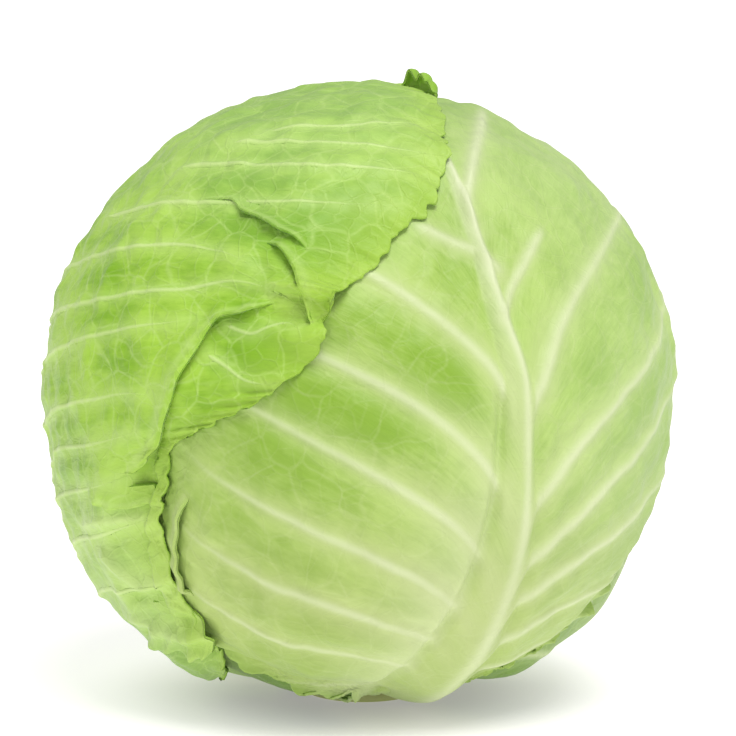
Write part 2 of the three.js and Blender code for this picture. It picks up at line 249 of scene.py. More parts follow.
# %% Midribs and the bed each leaf lies on
RIB_TIP_WIDTH, RIB_BASE_WIDTH = 1.5, 17.0
RIB_TIP_HEIGHT, RIB_BASE_HEIGHT = 0.5, 7.0
BED_ROLLS = [(0.5, 60, 4), (0.2, 24, 5)]


def turned(direction, angle):
    """Directions turned round the head's axis by an angle in degrees."""
    cos, sin = np.cos(np.radians(angle)), np.sin(np.radians(angle))
    x, y, z = np.moveaxis(direction, -1, 0)
    return np.stack([x * cos - y * sin, x * sin + y * cos, z], -1)


def midrib_half_width(polar):
    return RIB_TIP_WIDTH + RIB_BASE_WIDTH * np.clip(1 - polar / RIB_END, 0, 1) ** 2


def midrib_across(leaf, direction):
    """Distance to the right of the midrib's line as a share of its half-width: 1 or -1 at its feet."""
    polar = np.degrees(polar_of(direction))
    upright = turned(direction, -leaf.lean(polar))
    aside = HALF_WIDTH * np.arcsin(np.clip(upright @ leaf.rightward, -1, 1))
    return np.where(upright @ leaf.outward < 0, 9.0, aside / midrib_half_width(polar))


def midrib(leaf, direction, crest=0.0):
    """Height of a midrib, whose crest lies off its middle by a share of its half-width."""
    polar = np.degrees(polar_of(direction))
    height = RIB_TIP_HEIGHT + RIB_BASE_HEIGHT * np.clip(1 - polar / RIB_END, 0, 1) ** 1.6
    ends = ease(polar, 0, RIB_START) * (1 - ease(polar, RIB_END - 20, RIB_END))
    across = np.clip(midrib_across(leaf, direction), -1, 1)
    flank = np.where(across < crest, (crest - across) / (1 + crest), (across - crest) / (1 - crest))
    return leaf.rib_scale * height * ends * np.cos(flank * np.pi / 2) ** 2


def bed(leaf, direction):
    """Radius of a leaf's underside, over all the leaves inside it."""
    ribs_below = sum((midrib(inner, direction) for inner in LEAVES[: leaf.layer]), 0.0)
    layers = head_radius(polar_of(direction)) + leaf.layer * LAYER_STEP
    return layers + ribs_below + ripples(direction * SKIN, BED_ROLLS)


def leaf_direction(leaf, side, along, away):
    """Direction of a place on a leaf: along runs from base to fork, away is the angle from the midrib."""
    bend = leaf.sweep * ease(along, 0, 0.25) * (1 - ease(along, 0.85, 1)) * np.exp(-away / 9)
    polar = np.radians(mix(RIB_START, RIB_FORK, along) - bend)[..., None]
    bearing = np.radians(side.fan(along))[..., None]
    away = np.radians(away)[..., None]
    start = np.sin(polar) * leaf.outward - np.cos(polar) * UP
    rise = np.cos(polar) * leaf.outward + np.sin(polar) * UP
    heading = np.cos(bearing) * rise + side.sign * np.sin(bearing) * leaf.rightward
    direction = np.cos(away) * start + np.sin(away) * heading
    return turned(direction, leaf.lean(np.degrees(polar_of(direction))))


print("midrib half-widths from base to fork:", midrib_half_width(np.array([20, 70, 120])).round(1), "mm")

# %% [markdown]
# ## Lines on the head
# Folds and the outermost leaf's veins don't follow the fan, so they are drawn as lines of (azimuth, height)
# angles. A soft curve through the drawn points is cut into even steps.

# %% Drawn lines


def on_head(angles):
    azimuth, height = np.radians(np.array(angles, float)).T
    level = np.cos(height)
    return np.stack([level * np.sin(azimuth), -level * np.cos(azimuth), np.sin(height)], -1)


def run_along(points):
    """Length of a line up to each of its points."""
    return join([[0], np.cumsum(np.linalg.norm(np.diff(points, axis=0), axis=1))])


def smooth_line(angles, count):
    """Directions along a soft curve through drawn angles."""
    points = on_head(angles)
    place = run_along(points)
    fine = np.linspace(0, place[-1], 12 * len(points))
    line = np.stack([curve_through(np.stack([place, axis], -1))(fine) for axis in points.T], -1)
    for _ in range(6):
        line[1:-1] = (line[:-2] + 2 * line[1:-1] + line[2:]) / 4
    run = run_along(line)
    even = np.linspace(0, run[-1], count)
    return unit(np.stack([np.interp(even, run, axis) for axis in line.T], -1))


def distance_to_lines(directions, lines):
    """Distance in millimetres to the nearest of several lines, and the share run along that line."""
    flat = directions.reshape(-1, 3)
    best = np.full(len(flat), np.inf)
    share = np.zeros(len(flat))
    for line in lines:
        for i in range(len(line) - 1):
            run = line[i + 1] - line[i]
            q = np.clip((flat - line[i]) @ run / (run @ run), 0, 1)
            distance = SKIN * np.linalg.norm(flat - line[i] - q[:, None] * run, axis=1)
            closer = distance < best
            best = np.where(closer, distance, best)
            share = np.where(closer, (i + q) / (len(line) - 1), share)
    return best.reshape(directions.shape[:-1]), share.reshape(directions.shape[:-1])


print("a drawn line's first and last directions:", smooth_line([(0, 0), (90, 45)], 2).round(2).tolist())

# %% [markdown]
# ## A surface to lie on
# A leaf drapes over the real surface of the leaves below it, ribs and all. A k-d tree of their points,
# which Blender has built in, finds the points nearest to any direction, and their radii are averaged.

# %% Look up a surface
MASKS = ("rib", "pale", "deep", "edge", "run", "out")


class Surface:
    """The outer face of a laid leaf, which can be asked for its radius and its masks in any direction."""

    def __init__(self, grids):
        self.direction = join([grid["direction"].reshape(-1, 3) for grid in grids])
        self.radius = join([grid["radius"].reshape(-1) for grid in grids])
        self.masks = {key: join([grid[key].reshape(-1) for grid in grids]) for key in MASKS}
        self.tree = KDTree(len(self.direction))
        for i, direction in enumerate(self.direction.tolist()):
            self.tree.insert(direction, i)
        self.tree.balance()

    def near(self, directions, count):
        found = [self.tree.find_n(direction, count) for direction in directions.tolist()]
        index = np.array([[hit[1] for hit in hits] for hits in found])
        distance = SKIN * np.array([[hit[2] for hit in hits] for hits in found])
        return index, distance

    def look_up(self, directions, count=6):
        """Radius and masks, averaged over the nearest points."""
        index, distance = self.near(directions, count)
        weight = 1 / (distance + 0.15) ** 2
        weight /= weight.sum(1)[:, None]
        radius = (self.radius[index] * weight).sum(1)
        return radius, {key: (value[index] * weight).sum(1) for key, value in self.masks.items()}

    def radius_below(self, directions, reach=2.5):
        """Radius of the nearest point, or minus infinity past the margin."""
        index, distance = self.near(directions, 1)
        return np.where(distance[:, 0] < reach, self.radius[index[:, 0]], -np.inf)


print("masks kept at every point:", MASKS)

# %% [markdown]
# ## One side of a blade
# A blade is a grid of rows along its side ribs and columns out to its margin. On the flat fan lie the midrib,
# the side ribs, soft pillows between them and a waved margin. The heights make the form, and the same
# distances are kept as masks, so that the colour of a rib sits exactly on the rib.

# %% Rows and columns


def rows_of(leaf, count):
    """Places along the midrib, closer together at side ribs and where the margin runs fast."""
    fine = np.linspace(0, 1, 3000)
    edges = [SKIN * leaf_direction(leaf, side, fine, side.reach(fine)) for side in leaf.halves]
    pace = np.max([np.linalg.norm(np.gradient(edge, fine, axis=0), axis=1) for edge in edges], 0)
    ribs = np.unique(join([side.ribs for side in leaf.halves]))

    def density(at):
        near_ribs = sum(bump(at - rib, 0.008) for rib in ribs)
        return np.maximum(150, 0.8 * np.interp(at, fine, pace)) * (1 + 1.5 * near_ribs)

    return spaced(density, count)


def columns_of(count):
    """Shares of the way to the margin, closer together at the midrib and at the margin."""
    return spaced(lambda share: 1 + 2.5 * np.exp(-share / 0.12) + 2 * np.exp((share - 1) / 0.05), count)


print("six columns:", columns_of(6).round(2))

# %% Side ribs and spots
PILLOW_POWER = 1.4


def side_ribs_of(leaf, side, along, share, spread):
    """Height, colour and pale halo of the side ribs, and the pillows between them."""
    height, rib, halo, between = (np.zeros_like(share) for _ in range(4))
    for k, place in enumerate(side.ribs):
        gap = np.abs(along - place) * spread
        width = mix(2.6, 0.9, share)
        fade = 1 - ease(share, 0.6, 1.05)
        height = np.maximum(height, mix(1.5, 0.35, share) * fade * bump(gap, width))
        rib = np.maximum(rib, mix(0.8, 0.6, share) * fade * bump(gap, 0.65 * width))
        halo = np.maximum(halo, mix(1.0, 0.5, share) * fade * bump(gap, 2.4 * width))
        if k:
            before = side.ribs[k - 1]
            inside = (along > before) & (along < place)
            pillow = np.sin(np.pi * np.clip((along - before) / (place - before), 0, 1)) ** PILLOW_POWER
            between = np.where(inside, pillow, between)
    return leaf.side_ribs * height, rib, halo, between


def spots(direction, listed):
    """Soft round spots, each given by its angles on the head, its width in degrees and its height."""
    total = np.zeros(direction.shape[:-1])
    for angles, width, height in listed:
        away = np.degrees(np.arccos(np.clip(direction @ on_head([angles])[0], -1, 1)))
        total += height * bump(away, width)
    return total


# %% Relief of one side
TEETH = [(0.3, 24, 0), (0.26, 6.5, 1), (0.07, 2.5, 2)]
WAVES = [(0.4, 18, 3), (0.3, 7, 4)]
CRINKLES = [(0.12, 7, 5), (0.16, 12, 7), (0.3, 28, 6)]
AIR = 0.25


def side_grid(leaf, side, rows, columns, seed, below):
    """Directions, radii and masks of one side's outer face, draped over the surfaces below."""
    edge = SKIN * leaf_direction(leaf, side, rows, side.reach(rows))
    run = run_along(edge)
    teeth = ripples(run, TEETH, seed) * ease(rows, 0.1, 0.2) * (1 - ease(rows, 0.96, 1))
    reach = side.reach(rows) + teeth
    along, share = np.meshgrid(rows, columns, indexing="ij")
    direction = leaf_direction(leaf, side, along, reach[:, None] * share)
    flat = SKIN * direction

    tangent = unit(np.gradient(direction, axis=1))
    per_row = np.gradient(flat, rows, axis=0)
    per_row -= np.einsum("ijk,ijk->ij", per_row, tangent)[..., None] * tangent
    height, rib, halo, between = side_ribs_of(leaf, side, along, share, np.linalg.norm(per_row, axis=2))

    polar = np.degrees(polar_of(direction))
    rightward = midrib_across(leaf, direction)
    across = side.sign * rightward
    past_foot = (across - 1) * midrib_half_width(polar)
    pillow = side.puff * between * ease(past_foot, -1, 4) * (1 - ease(share, 0.35, 1))
    groove = -0.8 * side.puff * bump(past_foot, 1.8) * bump(polar - 70, 40)
    crinkle = leaf.crinkle * ripples(flat, CRINKLES, seed) * ease(across, 0.9, 1.8)
    relief = (height + groove) * ease(across, 0.2, 1) + pillow + crinkle + spots(direction, leaf.swells)

    margin = ease(share, 0.78, 1)
    wave = np.maximum(0, 0.45 + ripples(run, WAVES, seed))
    lift = side.frill(rows)[:, None] * ease(share, 0.84, 1) * wave[:, None]

    lying = bed(leaf, direction) + BLADE + midrib(leaf, direction, leaf.crest) + relief
    floor = np.full(share.size, -np.inf)
    for surface in below:
        floor = np.maximum(floor, surface.radius_below(direction.reshape(-1, 3)))
    floor = floor.reshape(share.shape) + BLADE + AIR
    settled = np.where(np.isfinite(floor), mix(lying, np.minimum(lying, floor), 0.85 * margin), lying)
    backbone = np.exp(-np.abs(across / 0.95) ** 5)
    # Deep marks the greener blade between side ribs, plus listed spots of painted shade and of deeper green.
    deep = between * ease(past_foot, 2, 9) * (1 - 0.5 * share) + spots(direction, leaf.painted_shade_and_green_spots)
    upper = ease(polar, 90, 118)
    # Painted highlight: a pale line along the midrib's crest, on a midrib that grows paler towards the top.
    paleness_and_painted_highlight = mix(0.1, 0.6, upper) + 0.7 * bump(rightward - leaf.crest, mix(0.2, 0.45, upper))
    milk = side.milk * bump(past_foot, 16) * (1 - ease(polar, 60, 105)) * ease(across, 0.6, 1)
    return {
        "direction": direction, "radius": np.maximum(settled, floor) + lift,
        "rib": np.max([rib * ease(across, 0.7, 1.1), backbone * paleness_and_painted_highlight, milk], 0),
        "pale": np.maximum(halo, 0.3 * bump(across, 1.5)), "deep": deep,
        "edge": margin ** 2, "run": along * SKIN * 2, "out": np.radians(reach)[:, None] * share * SKIN,
        "floor": floor,
    }


# %% [markdown]
# ## From grids to a closed blade
# The two sides share the midrib and the last row. The inner face is the outer one moved in by the blade's
# thickness, and a rounded rim closes the blade round its margin. A fold is one grid, closed in the same way.

# %% Close a sheet


def grid_faces(index, flip=False):
    quads = np.stack([index[:-1, :-1], index[:-1, 1:], index[1:, 1:], index[1:, :-1]], -1).reshape(-1, 4)
    return quads[:, ::-1] if flip else quads


def point_normals(points, quads):
    a, b, c, d = (points[quads[:, corner]] for corner in range(4))
    normal = np.cross(c - a, d - b)
    total = np.zeros_like(points)
    for corner in range(4):
        np.add.at(total, quads[:, corner], normal)
    return unit(total)


def thicken(outer, faces, loop, behind, masks, thickness):
    """A closed sheet: its outer face, its inner face and a rounded rim along the loop of margin points."""
    inner = outer - thickness * point_normals(outer, faces)
    outward = unit(outer[loop] - outer[behind])
    rim = (outer[loop] + inner[loop]) / 2 + 0.3 * thickness * outward
    count = len(outer)
    middle = 2 * count + np.arange(len(loop))
    ahead, middle_ahead = np.roll(loop, -1), np.roll(middle, -1)
    upper = np.stack([ahead, loop, middle, middle_ahead], -1)
    lower = np.stack([middle_ahead, middle, loop + count, ahead + count], -1)
    masks = {key: join([value, value, value[loop]]) for key, value in masks.items()}
    # The inside mask is 1 on the inner face and 0.3 on the rim, where the finish paints shade.
    masks["inside"] = join([np.zeros(count), np.ones(count), np.full(len(loop), 0.3)])
    all_faces = join([faces, faces[:, ::-1] + count, upper, lower])
    return join([outer, inner, rim]), all_faces, masks


def sheet_faces(index, flip):
    """Faces of a sheet of one grid, the loop of points on its margin and the points behind them."""
    loop = join([index[0, :-1], index[:-1, -1], index[-1, :0:-1], index[:0:-1, 0]])
    behind = join([index[1, :-1], index[:-1, -2], index[-2, :0:-1], index[:0:-1, 1]])
    step = 1 if flip else -1
    return grid_faces(index, flip), loop[::step], behind[::step]


# %% Close a blade of two sides


def blade(sides):
    """Points, faces and masks of a closed blade from its two side grids."""
    left, right = sides
    rows, columns = left["radius"].shape
    index = np.arange(2 * rows * columns).reshape(2, rows, columns)
    index[1, :, 0] = index[0, :, 0]
    index[1, -1] = index[0, -1]
    both = {key: join([grid[key].reshape(-1) for grid in sides]) for key in ("radius",) + MASKS}
    both["radius"][index[0, -1]] = (left["radius"][-1] + right["radius"][-1]) / 2
    both["radius"][index[0, :, 0]] = (left["radius"][:, 0] + right["radius"][:, 0]) / 2
    outer = join([grid["direction"].reshape(-1, 3) for grid in sides]) * both["radius"][:, None]
    faces = join([grid_faces(index[0], True), grid_faces(index[1])])
    used, faces = np.unique(faces, return_inverse=True)
    order = np.full(index.size, -1)
    order[used] = np.arange(len(used))
    index = order[index]
    left, right = index
    loop = join([left[0, :0:-1], right[0, :-1], right[:-1, -1], left[:0:-1, -1]])
    behind = join([left[1, :0:-1], right[1, :-1], right[:-1, -2], left[:0:-1, -2]])
    masks = {key: both[key][used] for key in MASKS}
    return thicken(outer[used], faces.reshape(-1, 4), loop, behind, masks, BLADE)


# %% Make a piece of closed parts


def add_object(name, data):
    made = bpy.data.objects.new(name, data)
    bpy.context.scene.collection.objects.link(made)
    return made


def piece(name, parts, material, node):
    """One object from one or more closed (points, faces, masks) parts, riding on the head."""
    starts = np.cumsum([0] + [len(points) for points, _, _ in parts])
    points = join([points for points, _, _ in parts]) + CENTRE
    faces = []
    for start, (_, part_faces, _) in zip(starts, parts):
        faces += [[int(i + start) for i in face] for face in part_faces]
    mesh = bpy.data.meshes.new(name)
    mesh.from_pydata((points * MM).tolist(), [], faces)
    for key in parts[0][2]:
        value = join([masks[key] for _, _, masks in parts]).astype(np.float32)
        mesh.attributes.new(key, "FLOAT", "POINT").data.foreach_set("value", value)
    mesh.shade_smooth()
    mesh.materials.append(material)
    made = add_object(name, mesh)
    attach(made, "root")
    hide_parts(node)
    size = points.max(0) - points.min(0)
    print(f"{name}: {len(faces)} faces, {size[0]:.0f} x {size[1]:.0f} x {size[2]:.0f} mm")


# %% [markdown]
# ## Finishes
# A finish is a tree of shader nodes. Writing it as sums and products is easier to follow than placing nodes
# by hand, so a small class turns Python's operators into Math nodes, and one method adds any other node.

# %% Maths on shader sockets


class Socket:
    """An output socket that adds a Math node for each operator used on it."""

    def __init__(self, finish, socket):
        self.finish, self.socket = finish, socket

    def maths(self, operation, *values):
        return self.finish.node("ShaderNodeMath", {"operation": operation}, dict(enumerate(values)))

    def __add__(self, other):
        return self.maths("ADD", self, other)

    def __sub__(self, other):
        return self.maths("SUBTRACT", self, other)

    def __rsub__(self, other):
        return self.maths("SUBTRACT", other, self)

    def __mul__(self, other):
        return self.maths("MULTIPLY", self, other)

    def __pow__(self, other):
        return self.maths("POWER", self, other)

    __radd__ = __add__


# %% A finish whose nodes are added one by one


class Finish:
    """A material with a Principled shader, whose other nodes are added one by one."""

    def __init__(self, name):
        self.material = bpy.data.materials.new(name)
        self.material.use_nodes = True
        self.tree = self.material.node_tree
        self.shader = self.tree.nodes["Principled BSDF"]

    def node(self, kind, settings, sockets, output=0):
        made = self.tree.nodes.new(kind)
        for key, value in settings.items():
            setattr(made, key, value)
        for key, value in sockets.items():
            self.set(made.inputs[key], value)
        return Socket(self, made.outputs[output])

    def set(self, target, value):
        if isinstance(value, Socket):
            self.tree.links.new(value.socket, target)
        else:
            target.default_value = value

    def shade(self, **sockets):
        for key, value in sockets.items():
            self.set(self.shader.inputs[key.replace("_", " ")], value)
        return self.material

    def place(self):
        return self.node("ShaderNodeTexCoord", {}, {}, "Object")

    def axis(self, name):
        return self.node("ShaderNodeSeparateXYZ", {}, {0: self.place()}, name)

    def mask(self, name):
        return self.node("ShaderNodeAttribute", {"attribute_name": name}, {}, "Fac")

    def noise(self, scale, detail=3.0, roughness=0.55, place=None):
        sockets = {"Vector": place or self.place(), "Scale": scale, "Detail": detail, "Roughness": roughness}
        return self.node("ShaderNodeTexNoise", {}, sockets, "Fac")

    def ramp(self, value, low, high):
        settings = {"interpolation_type": "SMOOTHSTEP"}
        return self.node("ShaderNodeMapRange", settings, {"Value": value, "From Min": low, "From Max": high})

    def cells(self, place, scale, width):
        """Irregular cells: 0 on their borders, rising to 1 over a width."""
        settings = {"feature": "DISTANCE_TO_EDGE"}
        border = self.node("ShaderNodeTexVoronoi", settings, {"Vector": place, "Scale": scale})
        return self.ramp(border, 0.0, width)

    def blend(self, a, b, share):
        settings = {"data_type": "RGBA", "clamp_factor": True}
        return self.node("ShaderNodeMix", settings, {0: share, 6: a, 7: b}, 2)

    def bump(self, height, strength, distance):
        sockets = {"Strength": strength, "Distance": distance, "Height": height}
        return self.node("ShaderNodeBump", {}, sockets, "Normal")


def colour(red, green, blue):
    """A colour as a screen shows it, 0 to 255, made linear for the shader."""
    share = np.array([red, green, blue]) / 255
    linear = np.where(share <= 0.04045, share / 12.92, ((share + 0.055) / 1.055) ** 2.4)
    return (*linear.tolist(), 1.0)


# %% [markdown]
# ## Fresh cabbage leaf
# The blade is a bright yellow-green with darker and lighter patches, the ribs are nearly white and bleed pale
# into the blade beside them, and a net of fine veins covers everything. Wax gives the leaf a thin sheen, and
# a pale painted sheen lightens its right side and its top. Painted shade darkens it near the floor and on its
# inner faces.

# %% The leaf's finish
# A pale colour painted as sheen on the leaf's right side and top.
PAINTED_SHEEN = colour(198, 223, 160)
WIDE_NET, FINE_NET = 85.0, 190.0


def leaf_finish(name, deep, fresh, pale, rib, low, rim, net_strength, pale_share):
    """Colours of dark and fresh blade, of the blade beside ribs, of ribs, of the base and of the margin.
    The dark colour also paints shade near the floor and on the inner faces.
    """
    made = Finish(name)
    sockets = {"Vector": made.place(), "Scale": 45.0, "Detail": 2.0}
    warp = made.node("ShaderNodeTexNoise", {}, sockets, "Color")
    bent = made.node("ShaderNodeMix", {"data_type": "VECTOR"}, {0: 0.012, 4: made.place(), 5: warp}, 1)
    rightward, height = made.axis("X"), made.axis("Z")
    fan = made.node("ShaderNodeCombineXYZ", {}, {0: made.mask("run") * 0.09, 1: made.mask("out") * 0.016})
    streaks = made.noise(9.0, 5.0, 0.6, fan)
    patches = made.ramp(made.noise(26.0, 5.0, 0.6) + streaks * 0.35 - made.mask("deep") * 0.16, 0.4, 0.8)
    body = made.blend(deep, fresh, patches)
    body = made.blend(body, pale, made.mask("pale") * pale_share)
    body = made.blend(body, low, (1 - made.ramp(height, 0.01, 0.1)) * 0.45)
    # Painted shade: close to the floor the blade is blended towards the dark colour.
    body = made.blend(body, deep, (1 - made.ramp(height, 0.005, 0.045)) * 0.38)
    # Painted sheen: the right side and the top are blended towards a pale colour.
    body = made.blend(body, PAINTED_SHEEN, (made.ramp(rightward, 0.02, 0.08) + made.ramp(height, 0.12, 0.17)) * 0.3)
    coarse = 1 - made.cells(bent, WIDE_NET, 0.05)
    fine = 1 - made.cells(bent, FINE_NET, 0.08)
    body = made.blend(body, pale, (coarse * 0.5 + fine * 0.25) * net_strength * (0.4 + streaks))
    body = made.blend(body, rib, made.mask("rib") * (0.35 + made.noise(28.0, 3.0) * 0.9))
    body = made.blend(body, rim, made.mask("edge") * (1 - made.mask("rib")) * 0.45)
    # Painted shade: the inner faces and rims are blended towards the dark colour.
    body = made.blend(body, deep, made.mask("inside") * 0.6)
    puckers = made.cells(bent, WIDE_NET, 0.3)
    relief = puckers * 0.6 + fine * 0.15 + streaks * 0.7 + made.noise(170.0, 4.0) * 0.5
    normal = made.bump(relief, 0.5 * net_strength + 0.15, 0.0012)
    rough = 0.4 + made.noise(70.0) * 0.16
    return made.shade(Base_Color=body, Roughness=rough, Normal=normal, Specular_IOR_Level=0.3,
                      Sheen_Weight=0.1, Sheen_Roughness=0.4)


# %% The finishes of the five leaves
wrapper_left = leaf_finish(
    "wrapper_leaf_left", deep=colour(128, 180, 28), fresh=colour(176, 218, 78), pale=colour(198, 228, 134),
    rib=colour(216, 237, 160), low=colour(202, 218, 160), rim=colour(184, 216, 88),
    net_strength=0.7, pale_share=0.45)
wrapper_front = leaf_finish(
    "wrapper_leaf_front", deep=colour(140, 180, 56), fresh=colour(184, 213, 113), pale=colour(200, 215, 148),
    rib=colour(224, 233, 188), low=colour(192, 198, 134), rim=colour(160, 196, 84),
    net_strength=0.35, pale_share=0.7)
wrapper_back = leaf_finish(
    "wrapper_leaf_back", deep=colour(138, 184, 56), fresh=colour(180, 214, 108), pale=colour(200, 222, 146),
    rib=colour(218, 232, 174), low=colour(200, 212, 142), rim=colour(160, 200, 84),
    net_strength=0.45, pale_share=0.65)
inner_green = leaf_finish(
    "inner_leaf", deep=colour(88, 134, 24), fresh=colour(120, 164, 46), pale=colour(172, 200, 108),
    rib=colour(212, 226, 166), low=colour(120, 150, 44), rim=colour(100, 146, 34),
    net_strength=0.5, pale_share=0.5)
FINISHES = [inner_green, inner_green, wrapper_back, wrapper_front, wrapper_left]
SLOTS = ["inner_leaf", "inner_leaf", "wrapper_leaf", "wrapper_leaf", "wrapper_leaf"]
print("finishes:", [finish.name for finish in FINISHES])

# %% [markdown]
# ## Veins of the left leaf
# The outermost leaf is thin and its veins are crisp, so each one is drawn. The blade swells between them, and
# a narrow ribbon with a rounded back lies along each line, sunk at its sides, so the vein has no hard border.

# %% The drawn veins
LEFT_VEINS = [
    [(-36.2, 59.9), (-8.5, 63.1), (22.2, 62.9)],
    [(-44.8, 54.9), (-19.8, 57.2), (5.1, 56.1), (21.7, 53)],
    [(-57.1, 47.4), (-34, 50.3), (-5.9, 49.6), (19.5, 47.1)],
    [(-75, 34), (-60.6, 38), (-41.4, 40.6), (-31.8, 41.5), (-14, 41.7), (8, 40.6)],
    [(-96, 17), (-81.6, 23.5), (-57.8, 28.9), (-38.3, 31.8), (-25.5, 29.9), (-18.8, 27)],
    [(-96, 7), (-78, 14.8), (-57.9, 19.5), (-46.7, 22.2), (-34.1, 23.8), (-24.4, 25.6),
     (-16.2, 24), (-11, 21.1), (-9.1, 18.5)],
    [(-96, 0), (-74.5, 8.2), (-55, 13.6), (-39.7, 17), (-28.4, 18.7)],
    [(-97, -10), (-73.3, -2), (-52.7, 3), (-42.3, 5.1), (-35, 5.2)],
    [(-97, -20), (-73.5, -9.1), (-53, -4.8), (-41, -1.3)],
    [(-97, -27), (-78.2, -18.5), (-55.1, -12.7), (-45.6, -9.8)],
    [(-97, -36), (-80.4, -27.6), (-52.3, -20.4), (-40, -16.7)],
    [(-92, -42), (-77.9, -36.7), (-53.9, -31.6), (-42, -29.5)],
    [(-27.8, 12.8), (-24, 11.1), (-19.9, 8.8), (-15.4, 8.2)],
    [(-24.7, 17.9), (-19.5, 16.7), (-17.4, 17.6), (-13.1, 18.7), (-10.7, 17.4)],
]
VEIN_ACROSS = np.array([-1, -0.66, -0.3, 0, 0.3, 0.66, 1])
VEIN_HEIGHT = np.array([-0.3, 0.25, 0.8, 1, 0.8, 0.25, -0.3])
VEIN_WIDTHS = [1.4] * 12 + [0.9] * 2
left_veins = [smooth_line(angles, 30 + 22 * len(angles)) for angles in LEFT_VEINS]
print("veins drawn:", len(left_veins))

# %% Veins in the blade and on it


def swell_between_veins(grid):
    """Raises the blade between the drawn veins and marks it pale beside them."""
    distance, share = distance_to_lines(grid["direction"], [line[::5] for line in left_veins])
    fade = 1 - ease(share, 0.7, 1)
    grid["radius"] = grid["radius"] + (0.6 * bump(distance, 1.7) - 0.9 * bump(distance, 5)) * fade
    grid["pale"] = np.maximum(grid["pale"], 0.8 * bump(distance, 2.6))
    grid["deep"] = np.maximum(grid["deep"], 1 - bump(distance, 6))


def vein_ribbon(surface, line, half_width, height, shown):
    """A ribbon along a line, with its ends tapered, as points, faces and masks."""
    count = len(line)
    along = np.linspace(0, 1, count)
    taper = ease(along, 0, 0.08) * mix(1, 0.45, along) * (1 - 0.9 * ease(along, 0.7, 1)) + 0.02
    sideways = unit(np.cross(line, np.gradient(line, axis=0)))
    offset = (half_width * taper)[:, None] * VEIN_ACROSS
    direction = unit(line[:, None] * SKIN + offset[..., None] * sideways[:, None])
    radius, masks = surface.look_up(direction.reshape(-1, 3))
    radius = radius.reshape(offset.shape) + (height * taper)[:, None] * VEIN_HEIGHT
    points = (direction * radius[..., None]).reshape(-1, 3)
    index = np.arange(len(points)).reshape(offset.shape)
    wrap = join([index, index[:, :1]], 1)
    faces = grid_faces(wrap, True).tolist() + [index[0].tolist(), index[-1, ::-1].tolist()]
    rib = shown * np.maximum(0, VEIN_HEIGHT) * np.minimum(1, 1.6 * taper)[:, None]
    masks = dict(masks, rib=np.maximum(masks["rib"], rib.reshape(-1)), inside=np.zeros(len(points)))
    return points, faces, masks


# %% [markdown]
# ## Folds
# The outermost leaf is too wide for the head, so it has folded over itself. Each fold is a sheet of its own
# between two drawn lines: at its root it comes out of the blade, and it rises to a free edge that hangs over
# the blade beyond. The front leaf's left margin is rolled over in the same way.

# %% Fold sheets
SHEET, CURL_SHEET = 0.8, 0.7


def fold_sheet(surface, edge, root, height, taper=(0.12, 0.12), count=70, across=26, seed=0):
    """A sheet from a root line to a free edge line, as points, faces and masks."""
    along = np.linspace(0, 1, count)
    out = spaced(lambda share: 1 + 2 * np.exp((share - 1) / 0.08), across)
    lines = [smooth_line(angles, count)[:, None] for angles in (root, edge)]
    direction = unit(mix(*lines, out[None, :, None]))
    rise = height * ease(along, 0, taper[0]) * (1 - ease(along, 1 - taper[1], 1))
    rise = rise * (1 + 0.12 * ripple(along * count, 16, seed))
    droop = 1.1 * ease(out, 0.93, 1)
    offset = (rise[:, None] + 0.5) * out ** 1.7 - 0.5 - droop * np.minimum(1, rise / 1.5)[:, None]
    radius, masks = surface.look_up(direction.reshape(-1, 3), 10)
    points = direction.reshape(-1, 3) * (radius + offset.reshape(-1))[:, None]
    index = np.arange(len(points)).reshape(direction.shape[:2])
    corner = direction[0, 0]
    flip = np.cross(direction[1, 0] - corner, direction[0, 1] - corner) @ corner > 0
    # Painted highlight: a pale strip just inside the free edge.
    crest = np.broadcast_to(bump(out - 0.8, 0.12), direction.shape[:2]).reshape(-1)
    masks = dict(masks, pale=np.maximum(masks["pale"], 0.9 * crest))
    return thicken(points, *sheet_faces(index, flip), masks, SHEET)


# %% The drawn folds and hollows
LIP = [(-15.4, 22.3), (-20.9, 20.1), (-25.9, 18.7), (-27.8, 15.9), (-31, 9.7), (-33, 4.7), (-35, 0.3),
       (-37.9, -3.9), (-41, -6.8), (-44.7, -9.4)]
LIP_ROOT = [(-15.1, 23.9), (-22.8, 23.9), (-30.9, 21.8), (-36.8, 16.8), (-40.5, 10.3), (-42.2, 4.6),
            (-43.7, 0.2), (-47.5, -3.6), (-51.5, -7.9)]
FLAP = [(-19.2, 32.8), (-16.2, 31.3), (-14.1, 29.3), (-11.4, 24.7), (-10.1, 21.4), (-9, 18.3)]
FLAP_ROOT = [(-16.9, 34.8), (-10.9, 33), (-5.7, 29.3), (-4.2, 24.9), (-5.8, 21), (-8.3, 17.9)]
RIDGE = [(-42.3, 41), (-32.4, 41.8), (-28.2, 39.3), (-23.3, 37.7), (-17.9, 35.1), (-14.5, 33.9),
         (-11.1, 31.9)]
RIDGE_ROOT = [(-41.9, 42.8), (-32.8, 45), (-25.5, 42.7), (-19.8, 40.6), (-14.7, 38.1), (-11.3, 36.2),
              (-9.3, 33.6)]
LOW_FOLD = [(-57, -41.9), (-52.6, -43.2), (-47.4, -43.6), (-42.5, -44.5), (-37.3, -44.2)]
LOW_FOLD_ROOT = [(-48.1, -34), (-41.7, -34.2), (-37.5, -35.4), (-35.6, -37.9), (-34.3, -40.5)]
SIDE_FOLD = [(-57, -13.2), (-52.1, -14.8), (-47.9, -15.6), (-41, -14.6)]
SIDE_FOLD_ROOT = [(-56.5, -10.5), (-51.5, -10.6), (-47.2, -11.8), (-41.5, -11.6)]
